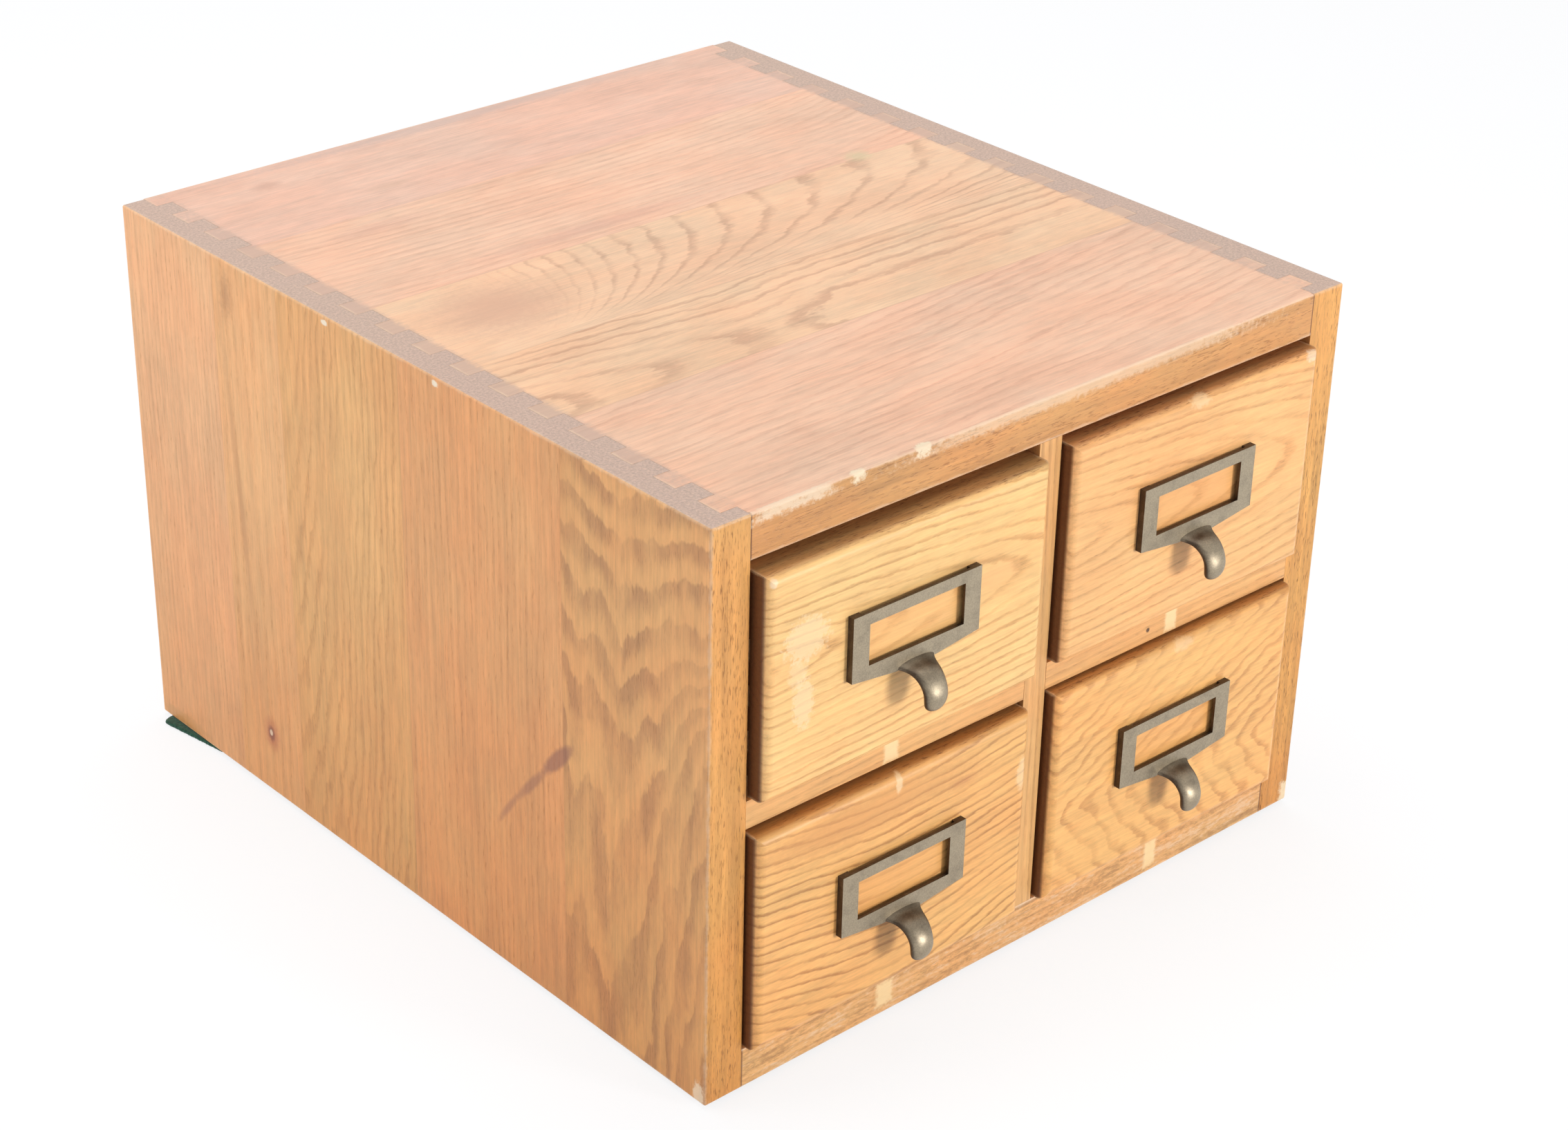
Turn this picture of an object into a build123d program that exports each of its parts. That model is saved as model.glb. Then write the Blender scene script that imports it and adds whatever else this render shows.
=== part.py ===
from build123d import *
import math
import os

# A desk-top oak cabinet for index cards: four drawers, two above two. Its top and bottom are let
# into the sides with half-blind finger joints, and each drawer front carries a cast label holder
# whose lower edge runs out into a finger pull.
# Millimetres. X runs from left to right, Y from front to back and Z up. The origin lies on the
# surface that the cabinet stands on, in the middle of the room that it takes up there.

# Case
case_width = 355.6
case_depth = 400.0
case_height = 260.35
board = 19.05                # thickness of the sides, top and bottom
divider_thick = 12.7
shelf_thick = 12.7
back_thick = 6.35
back_rebate = 9.5            # how far the back panel is let into the boards round it
housing = 6.0                # depth of the grooves that hold the shelves and the divider
divider_housing = 3.8        # the same, in the two faces of the thinner divider
housing_stop = 12.7          # the grooves end this far short of the front
glue_gap = 0.1               # between a tongue, finger or panel and its seat
eased = 1.0                  # rounding of the case's outer edges

# Half-blind finger joint between the sides and the top and bottom
finger_lap = 11.0            # wood left outside the sockets, so that the side shows no joint
finger = 12.7
finger_gap = 12.7
first_finger = 7.9           # from the front edge to the first finger

# Felt pads under the corners, one of them slipped out at the back
pad_size = 45.0
pad_thick = 2.0
pad_inset = 6.0
slipped_turn = 9.3           # degrees
slipped_in = 20.1            # from the left side to the middle of the slipped pad
slipped_forward = 25.6       # from the back to the middle of the slipped pad

# Screws
back_screw_shank = 1.6       # radius
back_screw_head = 3.1        # radius
back_screw_length = 18.0
back_screw_end = 25.0        # from the corner of the back panel to the first screw
pull_screw_shank = 1.3       # radius
pull_screw_head = 2.8        # radius
pull_screw_head_high = 1.8
pull_screw_grip = 2.0        # length held in the pull
screw_clear = 0.05           # round a screw in its hole

# Drawers
side_gap = 1.2               # from a front's end to the opening
front_lift = 1.2             # from a front's lower edge to the shelf
runner_gap = 0.3             # from the sliding edges to the shelf
front_thick = 19.05
closed_proud = 5.8           # a front stands out this far when the drawer is home
front_round = 4.2            # rounding of the edges of a front's face
side_inset = 0.6             # from a front's end to the outside of the drawer side
drawer_side = 9.5
side_height = 70.0
back_height = 92.0
side_fingers = 7             # divisions of the drawer side's height in its finger joints
front_finger_reach = 9.5
home_gap = 0.5               # from a closed drawer's back to the case's back
bottom_thick = 5.0
bottom_lift = 5.0            # below the drawer's bottom
bottom_groove = 4.5

# Follower: the sloping board on a block that keeps the cards upright
follower_gap = 0.5
follower_board = 6.35
follower_height = 66.0
follower_slope = 12.0        # degrees
follower_foot = 34.0         # length of the block along the drawer
follower_foot_high = 16.0
follower_parked = 4.0        # from the follower to the drawer's back

# Label holder and finger pull
pull_width = 68.3
pull_height = 28.6
pull_depth = 3.2
skin = 1.4                   # thickness of the frame in front of the card
window_width = 51.0
window_height = 18.2
card_overlap = 3.5           # how far the frame covers a card's ends
card_under = 2.5             # and its lower edge
root_width = 22.0
root_drop = 2.9              # the lower edge runs down by this much towards the hook

# Sections of the finger pull from root to tip: distance out from the drawer, height above the
# middle of the window, half width and half thickness.
hook_sections = [
    (1.7, -16.4, 10.6, 2.0),
    (4.6, -16.9, 8.7, 2.0),
    (8.5, -18.0, 7.1, 2.2),
    (12.2, -20.5, 6.4, 2.5),
    (14.5, -24.4, 6.0, 2.8),
    (14.9, -28.4, 5.7, 2.9),
    (14.4, -31.0, 4.8, 2.5),
    (13.9, -32.5, 3.1, 1.6),
    (13.7, -33.1, 1.1, 0.6),
]

# Where each drawer was found: how far it stands open, how it sits sideways in its opening, the
# gap above it, and where its pull is from the middle of the front
drawers = {
    "upper_left": {"ajar": 2.5, "aside": 0.6, "top_gap": 5.2, "pull_x": 0.2, "pull_z": 4.8},
    "upper_right": {"ajar": 1.3, "aside": 0.0, "top_gap": 3.6, "pull_x": -0.4, "pull_z": 4.6},
    "lower_left": {"ajar": 0.7, "aside": 0.0, "top_gap": 2.6, "pull_x": 1.8, "pull_z": 1.9},
    "lower_right": {"ajar": 0.6, "aside": 0.2, "top_gap": 1.4, "pull_x": -0.9, "pull_z": 5.7},
}

# Places worked out from the sizes above
largest_ajar = max(d["ajar"] for d in drawers.values())
hook_reach = max(out + half_thick for out, up, half_width, half_thick in hook_sections)
reach = closed_proud + largest_ajar + hook_reach
case_front = (reach - case_depth) / 2
case_back = case_front + case_depth
case_low = pad_thick
case_high = pad_thick + case_height
left = -case_width / 2
right = case_width / 2
inner_left = left + board
inner_right = right - board
inner_low = case_low + board
inner_high = case_high - board
opening_height = (case_height - 2 * board - shelf_thick) / 2
shelf_low = inner_low + opening_height
shelf_high = shelf_low + shelf_thick
seat_front = case_back - back_thick
finger_reach = board - finger_lap
card_half = window_width / 2 + card_overlap
screw_out = (card_half + pull_width / 2) / 2

parts = {}


def block(x0, x1, y0, y1, z0, z1):
    """A box between two corners."""
    middle = ((x0 + x1) / 2, (y0 + y1) / 2, (z0 + z1) / 2)
    return Pos(*middle) * Box(x1 - x0, y1 - y0, z1 - z0)


def rod(x, y0, y1, z, radius):
    """A round bar along Y."""
    return Pos(x, (y0 + y1) / 2, z) * Rot(90, 0, 0) * Cylinder(radius, y1 - y0)


# The case's joints

def finger_places():
    """Front and back of each finger on the top and bottom, from the front of the case."""
    places = []
    start = first_finger
    while start < case_depth - glue_gap * 4:
        places.append((case_front + start, case_front + min(start + finger, case_depth)))
        start += finger + finger_gap
    return places


def back_seat(clear=0.0):
    """The rebate for the back panel, or the panel itself when it is given a clearance."""
    x = (inner_right - inner_left) / 2 + back_rebate - clear
    return block(-x, x, seat_front + clear, case_back, inner_low - back_rebate + clear,
                 inner_high + back_rebate - clear)


def shelf_spans():
    """Left and right ends of the two shelves, in the case's side and in the divider."""
    half = divider_thick / 2
    return {
        "left": (inner_left - housing, -half + divider_housing),
        "right": (half - divider_housing, inner_right + housing),
    }


def shelf_board(side, clear=0.0):
    """A shelf let into the grooves at its ends, which stop short of the front."""
    x0, x1 = shelf_spans()[side]
    bare = {"left": (inner_left, -divider_thick / 2), "right": (divider_thick / 2, inner_right)}
    b0, b1 = bare[side]
    tongue = block(x0 + clear, x1 - clear, case_front + housing_stop + clear, seat_front,
                   shelf_low, shelf_high)
    return tongue + block(b0 + clear, b1 - clear, case_front, seat_front, shelf_low, shelf_high)


def divider_board(clear=0.0):
    """The upright board in the middle, let into the top and the bottom."""
    half = divider_thick / 2 - clear
    tongue = block(-half, half, case_front + housing_stop + clear, seat_front,
                   inner_low - housing + clear, inner_high + housing - clear)
    return tongue + block(-half, half, case_front, seat_front, inner_low + clear,
                          inner_high - clear)


def back_screw_places():
    """Screws round the back panel, in the middle of the wood that it lies on."""
    x = inner_right + back_rebate / 2
    low = inner_low - back_rebate / 2
    high = inner_high + back_rebate / 2
    span = high - low
    rises = [back_screw_end, span / 3, span * 2 / 3, span - back_screw_end]
    places = [(s * x, low + rise) for s in (-1, 1) for rise in rises]
    places += [(s * (x - back_screw_end) / 2, z) for s in (-1, 1) for z in (low, high)]
    return places


def screw_profile(shank, head, length, head_high):
    """Half of a countersunk screw's outline, with its point at -length."""
    return [(0, 0), (head, 0), (shank, -head_high), (shank, -length + 2 * shank), (0, -length)]


def back_screw(x, z, clear=0.0):
    """A countersunk wood screw, driven forwards through the back panel."""
    points = screw_profile(back_screw_shank, back_screw_head, back_screw_length,
                           back_screw_head - back_screw_shank)
    grown = [(px + (clear if px > 0 else 0), py) for px, py in points]
    if clear:
        grown[-1] = (0, grown[-1][1] - clear)
    face = make_face(Plane.XY * Polyline(*grown, close=True))
    turned = revolve(face, Axis.Y)
    return Pos(x, case_back, z) * turned


def screw_holes():
    return [back_screw(x, z, screw_clear) for x, z in back_screw_places()]


def side_panel(hand):
    """A side: sockets for the fingers, grooves for the shelf, and the seat of the back."""
    x0, x1 = (left, inner_left) if hand < 0 else (inner_right, right)
    body = block(x0, x1, case_front, case_back, case_low, case_high)
    outer = body.faces().sort_by(Axis.X)[0 if hand < 0 else -1]
    body = fillet(outer.edges() + body.edges().filter_by(Axis.X), eased)
    s0, s1 = (inner_left - finger_reach, inner_left) if hand < 0 else (
        inner_right, inner_right + finger_reach)
    cuts = [back_seat(), shelf_board("left" if hand < 0 else "right")]
    for y0, y1 in finger_places():
        cuts.append(block(s0, s1, y0, y1, case_low, inner_low))
        cuts.append(block(s0, s1, y0, y1, inner_high, case_high))
    return body - cuts - screw_holes()


def end_panel(z0, z1, outer):
    """The top or the bottom: a board between the sides with a row of fingers at each end."""
    body = block(inner_left + glue_gap, inner_right - glue_gap, case_front, case_back, z0, z1)
    body = fillet(body.edges().filter_by(Axis.X).group_by(Axis.Z)[outer], eased)
    fingers = []
    for y0, y1 in finger_places():
        tip = min(y1 - glue_gap, case_back)
        fingers.append(block(inner_left - finger_reach + glue_gap,
                             inner_right + finger_reach - glue_gap, y0 + glue_gap, tip, z0, z1))
    return body + fingers - back_seat() - divider_board() - screw_holes()


def make_case():
    parts["left_side"] = side_panel(-1)
    parts["right_side"] = side_panel(1)
    parts["top_panel"] = end_panel(inner_high, case_high, -1)
    parts["bottom_panel"] = end_panel(case_low, inner_low, 0)
    shelves = [shelf_board("left"), shelf_board("right")]
    parts["centre_divider"] = divider_board(glue_gap) - shelves
    parts["left_shelf"] = shelf_board("left", glue_gap)
    parts["right_shelf"] = shelf_board("right", glue_gap)
    parts["back_panel"] = back_seat(glue_gap) - screw_holes()
    parts["back_screws"] = Compound(children=[back_screw(x, z) for x, z in back_screw_places()])


def make_pads():
    """Four felt pads. The one at the back on the left has turned and slipped outwards."""
    half = pad_inset + pad_size / 2
    corners = {
        "front_left": (left + half, case_front + half, 0.0),
        "front_right": (right - half, case_front + half, 0.0),
        "back_right": (right - half, case_back - half, 0.0),
        "back_left": (left + slipped_in, case_back - slipped_forward, slipped_turn),
    }
    for name, (x, y, turn) in corners.items():
        pad = Pos(x, y, pad_thick / 2) * Rot(0, 0, turn) * Box(pad_size, pad_size, pad_thick)
        parts["felt_pad_" + name] = pad


# The pull

def pull_outline():
    """The frame's outline, whose lower edge slopes down to the root of the hook."""
    x, z, r = pull_width / 2, pull_height / 2, root_width / 2
    return [(-x, z), (-x, -z), (-r, -z - root_drop), (r, -z - root_drop), (x, -z), (x, z)]


def front_plane(x, y, z):
    """A plane that faces the front: its own X is to the right and its own Y is up."""
    return Plane(origin=(x, y, z), x_dir=(1, 0, 0), z_dir=(0, -1, 0))


def hook(x, face, z):
    """The finger pull: ellipses set square to a line that bends outwards and then down."""
    last = len(hook_sections) - 1
    faces = []
    for i, (out, up, half_width, half_thick) in enumerate(hook_sections):
        before = hook_sections[max(i - 1, 0)]
        after = hook_sections[min(i + 1, last)]
        run = (after[0] - before[0], after[1] - before[1])
        along = Vector(0, -run[0], run[1]).normalized()
        if i == 0:
            along = Vector(0, -1, 0)
        place = Plane(origin=(x, face - out, z + up), x_dir=(1, 0, 0), z_dir=along)
        faces.append(place * Ellipse(half_width, half_thick))
    return loft(faces)


def make_pull(name, x, face, z):
    """A cast frame with a slot behind it for the card, open at the top, and its hook."""
    seat = front_plane(x, face, z)
    plate = extrude(seat * make_face(Polyline(*pull_outline(), close=True)), pull_depth)
    card_low = z - window_height / 2 - card_under
    slot = block(x - card_half, x + card_half, face - pull_depth + skin, face, card_low,
                 z + pull_height)
    window = block(x - window_width / 2, x + window_width / 2, face - pull_depth, face,
                   z - window_height / 2, z + window_height / 2)
    holes = [rod(x + s * screw_out, face - pull_screw_grip - screw_clear, face, z,
                 pull_screw_shank + screw_clear) for s in (-1, 1)]
    grip = hook(x, face, z) - block(x - pull_width, x + pull_width, face, face + pull_width,
                                    z - 3 * pull_height, z)
    parts[name + "_pull"] = plate + grip - slot - window - holes


def make_pull_screws(name, x, face, z):
    """Two screws from inside the drawer, through the front and into the pull."""
    inside = face + front_thick
    screws = []
    for s in (-1, 1):
        at = x + s * screw_out
        shank = rod(at, face - pull_screw_grip, inside, z, pull_screw_shank)
        screws.append(shank + rod(at, inside, inside + pull_screw_head_high, z, pull_screw_head))
    parts[name + "_pull_screws"] = Compound(children=screws)


# A drawer

class Bay:
    """Places of one drawer in its opening."""

    def __init__(self, name):
        spec = drawers[name]
        row, column = name.split("_")
        half = divider_thick / 2
        opening = (inner_left, -half) if column == "left" else (half, inner_right)
        self.floor = shelf_high if row == "upper" else inner_low
        self.x0 = opening[0] + side_gap + spec["aside"]
        self.x1 = opening[1] - side_gap + spec["aside"]
        self.face = case_front - closed_proud - spec["ajar"]
        self.inside = self.face + front_thick
        self.end = seat_front - home_gap - spec["ajar"]
        self.front_low = self.floor + front_lift
        self.front_high = self.floor + opening_height - spec["top_gap"]
        self.low = self.floor + runner_gap
        self.in0 = self.x0 + side_inset + drawer_side
        self.in1 = self.x1 - side_inset - drawer_side
        self.back_front = self.end - drawer_side
        self.deck = self.low + bottom_lift + bottom_thick
        self.pull_x = (self.x0 + self.x1) / 2 + spec["pull_x"]
        self.pull_z = (self.front_low + self.front_high) / 2 + spec["pull_z"]


def division(bay, i):
    """Lower and upper edge of one division of the drawer side's height."""
    step = side_height / side_fingers
    return bay.low + i * step, bay.low + (i + 1) * step


def bottom_board(bay, clear=0.0):
    """The drawer's bottom, or the groove for it round the drawer when the clearance is 0."""
    g = bottom_groove - clear
    return block(bay.in0 - g, bay.in1 + g, bay.inside - g, bay.back_front + g,
                 bay.low + bottom_lift + clear, bay.deck - clear)


def front_board(bay):
    """A front with a rounded face and sockets at its ends for the sides' fingers."""
    slab = block(bay.x0, bay.x1, bay.face, bay.inside, bay.front_low, bay.front_high)
    slab = fillet(slab.faces().sort_by(Axis.Y)[0].edges(), front_round)
    cuts = [bottom_board(bay)]
    y0 = bay.inside - front_finger_reach
    for i in range(0, side_fingers, 2):
        z0, z1 = division(bay, i)
        z0 = min(z0, bay.front_low) if i == 0 else z0
        cuts.append(block(bay.x0, bay.in0, y0, bay.inside, z0, z1))
        cuts.append(block(bay.in1, bay.x1, y0, bay.inside, z0, z1))
    holes = [rod(bay.pull_x + s * screw_out, bay.face, bay.inside, bay.pull_z,
                 pull_screw_shank + screw_clear) for s in (-1, 1)]
    return slab - cuts - holes


def side_board(bay, hand):
    """A drawer side, with fingers into the front and through the back."""
    x0, x1 = (bay.x0 + side_inset, bay.in0) if hand < 0 else (bay.in1, bay.x1 - side_inset)
    body = block(x0, x1, bay.inside, bay.end, bay.low, bay.low + side_height)
    cuts = [bottom_board(bay)]
    fingers = []
    for i in range(side_fingers):
        z0, z1 = division(bay, i)
        if i % 2 == 0:
            top = z1 - glue_gap if i < side_fingers - 1 else z1
            start = z0 + glue_gap if i > 0 else z0
            y0 = bay.inside - front_finger_reach + glue_gap
            fingers.append(block(x0, x1, y0, bay.inside, start, top))
        else:
            cuts.append(block(x0, x1, bay.back_front, bay.end, z0, z1))
    return body + fingers - cuts


def back_board(bay):
    """A drawer's back, taller than its sides so that the open drawer can't tip far."""
    body = block(bay.in0 + glue_gap, bay.in1 - glue_gap, bay.back_front, bay.end, bay.low,
                 bay.low + back_height)
    fingers = []
    for i in range(1, side_fingers, 2):
        z0, z1 = division(bay, i)
        fingers.append(block(bay.x0 + side_inset, bay.x1 - side_inset, bay.back_front, bay.end,
                             z0 + glue_gap, z1 - glue_gap))
    return body + fingers - bottom_board(bay)


def make_follower(name, bay):
    """A board that leans back on a block; both slide along the drawer's bottom together."""
    x0, x1 = bay.in0 + follower_gap, bay.in1 - follower_gap
    z0 = bay.deck - glue_gap + runner_gap
    y1 = bay.back_front - follower_parked
    lean = math.tan(math.radians(follower_slope))
    high = follower_height
    back_low = y1 - max(follower_foot, high * lean)
    board_run = follower_board / math.cos(math.radians(follower_slope))
    section = [(back_low - board_run, 0), (back_low, 0), (back_low + high * lean, high),
               (back_low + high * lean - board_run, high)]
    side = Plane(origin=(x0, 0, z0), x_dir=(0, 1, 0), z_dir=(1, 0, 0))
    face = side * make_face(Polyline(*section, close=True))
    parts[name + "_follower_board"] = extrude(face, x1 - x0)
    foot_top = back_low + follower_foot_high * lean
    foot = [(back_low, 0), (back_low + follower_foot, 0),
            (back_low + follower_foot, follower_foot_high / 2), (foot_top, follower_foot_high)]
    foot_side = Plane(origin=((x0 + x1) / 2 - follower_foot / 2, 0, z0), x_dir=(0, 1, 0),
                      z_dir=(1, 0, 0))
    foot_face = foot_side * make_face(Polyline(*foot, close=True))
    parts[name + "_follower_block"] = extrude(foot_face, follower_foot)


def make_drawer(name):
    bay = Bay(name)
    parts[name + "_front"] = front_board(bay)
    parts[name + "_left_side"] = side_board(bay, -1)
    parts[name + "_right_side"] = side_board(bay, 1)
    parts[name + "_back"] = back_board(bay)
    parts[name + "_bottom"] = bottom_board(bay, glue_gap)
    make_pull(name, bay.pull_x, bay.face, bay.pull_z)
    make_pull_screws(name, bay.pull_x, bay.face, bay.pull_z)
    make_follower(name, bay)


make_case()
make_pads()
for drawer_name in drawers:
    make_drawer(drawer_name)

os.makedirs("parts", exist_ok=True)
for node, shape in parts.items():
    export_step(shape, f"parts/{node}.step")
print(len(parts), "parts")
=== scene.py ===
# %% [markdown]
# A desk-top oak cabinet for index cards, dressed for a photograph. The solids come from the
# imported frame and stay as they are. This script gives each board the grain, wear and colour of
# the real one, makes the felt pads, and sets the camera and the lights.
# %% Load the frame
import bpy
import math
import numpy as np
from collections import namedtuple
from mathutils import Matrix, Vector


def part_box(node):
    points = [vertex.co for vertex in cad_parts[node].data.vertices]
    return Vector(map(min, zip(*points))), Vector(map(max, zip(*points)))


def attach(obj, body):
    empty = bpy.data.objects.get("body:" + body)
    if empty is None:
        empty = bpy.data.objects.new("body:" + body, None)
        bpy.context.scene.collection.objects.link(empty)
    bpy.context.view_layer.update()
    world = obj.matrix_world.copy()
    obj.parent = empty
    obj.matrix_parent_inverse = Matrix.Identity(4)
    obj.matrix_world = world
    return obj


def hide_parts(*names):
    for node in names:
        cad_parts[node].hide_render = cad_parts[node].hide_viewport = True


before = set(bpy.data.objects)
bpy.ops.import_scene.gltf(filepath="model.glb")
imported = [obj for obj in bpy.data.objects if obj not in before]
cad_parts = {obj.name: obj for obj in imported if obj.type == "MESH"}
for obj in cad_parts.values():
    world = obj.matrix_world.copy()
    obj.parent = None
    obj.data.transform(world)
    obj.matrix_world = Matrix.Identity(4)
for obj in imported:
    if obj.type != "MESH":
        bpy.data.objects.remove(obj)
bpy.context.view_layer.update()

# %% [markdown]
# The camera stands at the viewer's left, a little above the cabinet, and looks down on it. Its
# place is given as an azimuth, an elevation and a distance from a point on the cabinet, because
# those can be read off the photograph's converging edges and tried one at a time.
# %% Camera
case_low, case_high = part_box("left_side")
case_left, case_front, case_base = case_low
case_back, case_top = case_high[1:]
case_width = 2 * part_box("right_side")[1][0]
MM = 0.001
AZIMUTH, ELEVATION, ROLL = (math.radians(a) for a in (-42.4605, 28.3711, 1.3712))
DISTANCE = 4.2081 * case_width
SIDEWAYS, UPWARDS = 0.0852 * case_width, 0.2529 * case_width
LENS = 72.57
AIM_DEPTH = 200 * MM         # from the case's front to the point that the camera looks at

towards_camera = Vector((math.sin(AZIMUTH) * math.cos(ELEVATION),
                         -math.cos(AZIMUTH) * math.cos(ELEVATION), math.sin(ELEVATION)))
level_right = Vector((0, 0, 1)).cross(towards_camera).normalized()
level_up = towards_camera.cross(level_right)
right = level_right * math.cos(ROLL) + level_up * math.sin(ROLL)
up = level_up * math.cos(ROLL) - level_right * math.sin(ROLL)
aim = Vector((0, case_front + AIM_DEPTH, case_base))
eye = aim + towards_camera * DISTANCE + level_right * SIDEWAYS + level_up * UPWARDS
camera = bpy.data.objects.new("camera", bpy.data.cameras.new("camera"))
camera.data.lens = LENS
camera.data.sensor_width = 36
turn = Matrix((right, up, towards_camera)).transposed().to_4x4()
camera.matrix_world = Matrix.Translation(eye) @ turn
bpy.context.collection.objects.link(camera)
bpy.context.scene.camera = camera
print("camera at", [round(c, 3) for c in eye])

# %% [markdown]
# A material is a small graph of nodes. Writing one out takes many lines, so a helper class adds
# nodes and links: each method returns the output socket of the node that it made, and a plain
# number or colour can stand wherever a socket can.
# %% Node helper
class Graph:
    """Adds nodes to a tree and links them, so that a graph reads like a sum."""

    def __init__(self, tree):
        self.tree = tree

    def node(self, kind, **settings):
        made = self.tree.nodes.new(kind)
        for key, value in settings.items():
            setattr(made, key, value)
        return made

    def feed(self, socket, value):
        """Links an output to a socket, or sets the socket to a number or colour."""
        if isinstance(value, bpy.types.NodeSocket):
            self.tree.links.new(value, socket)
        elif value is not None:
            wide = hasattr(socket.default_value, "__len__") and len(socket.default_value) == 4
            socket.default_value = (*value[:3], 1.0) if wide else value

    def math(self, operation, a, b=None, c=None, clamp=False):
        made = self.node("ShaderNodeMath", operation=operation, use_clamp=clamp)
        for socket, value in zip(made.inputs, (a, b, c)):
            self.feed(socket, value)
        return made.outputs[0]

    def vector(self, operation, a, b=None, scale=None):
        made = self.node("ShaderNodeVectorMath", operation=operation)
        self.feed(made.inputs[0], a)
        if b is not None:
            self.feed(made.inputs[1], b)
        if scale is not None:
            self.feed(made.inputs["Scale"], scale)
        return made.outputs["Value" if operation == "LENGTH" else "Vector"]

    def mix(self, share, a, b, blend="MIX"):
        made = self.node("ShaderNodeMix", data_type="RGBA", blend_type=blend, clamp_factor=True)
        for name, value in (("Factor_Float", share), ("A_Color", a), ("B_Color", b)):
            self.feed(next(s for s in made.inputs if s.identifier == name), value)
        return next(s for s in made.outputs if s.identifier == "Result_Color")

    def noise(self, vector, detail, roughness=0.5):
        made = self.node("ShaderNodeTexNoise")
        for name, value in (("Vector", vector), ("Scale", 1.0), ("Detail", detail),
                            ("Roughness", roughness)):
            self.feed(made.inputs[name], value)
        return made.outputs["Fac"]

    def seeded(self, given, shift):
        """Board + Seed * shift, so that each plank has noise of its own."""
        return self.vector("ADD", given["Board"], self.vector("SCALE", shift, scale=given["Seed"]))

    def grains(self, place, along, across, detail, roughness=0.5):
        """Noise whose grains are so many mm along, and so many across and deep."""
        squeezed = self.vector("MULTIPLY", place, (1 / along, 1 / across, 1 / across))
        return self.noise(squeezed, detail, roughness)

    def hypotenuse(self, a, b):
        """sqrt(a^2 + b^2)"""
        squares = self.math("MULTIPLY", a, a), self.math("MULTIPLY", b, b)
        return self.math("SQRT", self.math("ADD", *squares))

    def sway(self, noise, size, base=None, clamp=False):
        """base + size * (noise - 0.5), because noise swings round a half."""
        operation = "MULTIPLY" if base is None else "MULTIPLY_ADD"
        return self.math(operation, self.math("SUBTRACT", noise, 0.5), size, base, clamp)

    def shade(self, colour, light):
        """The colour times one number, which keeps its hue."""
        return self.mix(1.0, colour, self.join(light, light, light), blend="MULTIPLY")

    def rise(self, value, low, high, out_low=0.0, out_high=1.0):
        """A smooth step from out_low to out_high as value goes from low to high."""
        made = self.node("ShaderNodeMapRange", interpolation_type="SMOOTHSTEP")
        for socket, given in zip(made.inputs, (value, low, high, out_low, out_high)):
            self.feed(socket, given)
        return made.outputs[0]

    def split(self, vector):
        made = self.node("ShaderNodeSeparateXYZ")
        self.feed(made.inputs[0], vector)
        return made.outputs

    def join(self, x, y, z):
        made = self.node("ShaderNodeCombineXYZ")
        for socket, value in zip(made.inputs, (x, y, z)):
            self.feed(socket, value)
        return made.outputs[0]

    def place(self, tree, **values):
        """Puts a node group in and sets its inputs."""
        made = self.node("ShaderNodeGroup", node_tree=tree)
        for label, value in values.items():
            self.feed(made.inputs[label], value)
        return made.outputs


def new_group(name, takes, gives):
    """An empty node group and its graph. Its sockets are floats, or such as Place:Vector."""
    tree = bpy.data.node_groups.new(name, "ShaderNodeTree")
    for labels, side in ((takes, "INPUT"), (gives, "OUTPUT")):
        for label, _, kind in (each.partition(":") for each in labels.split()):
            tree.interface.new_socket(label, in_out=side,
                                      socket_type="NodeSocket" + (kind or "Float"))
    g = Graph(tree)
    return g, g.node("NodeGroupInput").outputs, g.node("NodeGroupOutput").inputs


def card(red, green, blue):
    """A paint card's colour, 0 to 255, in a shader's linear numbers: ((c + 0.055) / 1.055)^2.4."""
    return tuple(((c / 255 + 0.055) / 1.055) ** 2.4 for c in (red, green, blue))


def new_material(name):
    """A material with its graph and shader, and the surface's normal and its place in mm."""
    material = bpy.data.materials.new(name)
    material.use_nodes = True
    g = Graph(material.node_tree)
    coordinate = g.node("ShaderNodeTexCoord")
    place = g.vector("SCALE", coordinate.outputs["Object"], scale=1 / MM)
    shader = material.node_tree.nodes["Principled BSDF"]
    return material, g, shader, coordinate.outputs["Normal"], place


def add_bump(g, shader, height, strength, deepest):
    """Tilts the shading by a height, which counts deepest in mm."""
    bump = g.node("ShaderNodeBump")
    bump.inputs["Strength"].default_value = strength
    bump.inputs["Distance"].default_value = deepest * MM
    g.feed(bump.inputs["Height"], height)
    g.feed(shader.inputs["Normal"], bump.outputs["Normal"])


# %% [markdown]
# The light is that of a small product studio: a soft lamp low in front and a little to the right,
# which throws the pulls' shadows level to the left, a large soft one overhead, and a bright wall
# at the back left that lifts the long side. That wall isn't mirrored in the finish, or the top
# would be a white sheet when seen from the right. A plain grey-white world fills the rest. The
# camera and the metal see white instead of it, so the background is white without more light on
# the oak. The paper floor is white in the same way, and keeps a shadow.
# %% Stage and lights
WORLD_FILL = 0.38
PAPER = (0.84, 0.86, 0.91)
PAPER_OWN_WHITE = 0.72       # the share of the floor's look that is its own white
PAPER_GLOW = 1.12
FLOOR_HALF = 6.0


def seen_rays(g, kinds):
    """1 for rays of the named kinds, such as those that come straight from the camera."""
    rays = g.node("ShaderNodeLightPath").outputs
    seen = rays[kinds[0]]
    for kind in kinds[1:]:
        seen = g.math("MAXIMUM", seen, rays[kind])
    return seen


def mix_shaders(g, share, first, second, out):
    """Sends a share of the second shader, and the rest of the first, to an output node."""
    both = g.node("ShaderNodeMixShader")
    for socket, value in zip(both.inputs, (share, first.outputs[0], second.outputs[0])):
        g.feed(socket, value)
    g.feed(out.inputs["Surface"], both.outputs[0])


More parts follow.
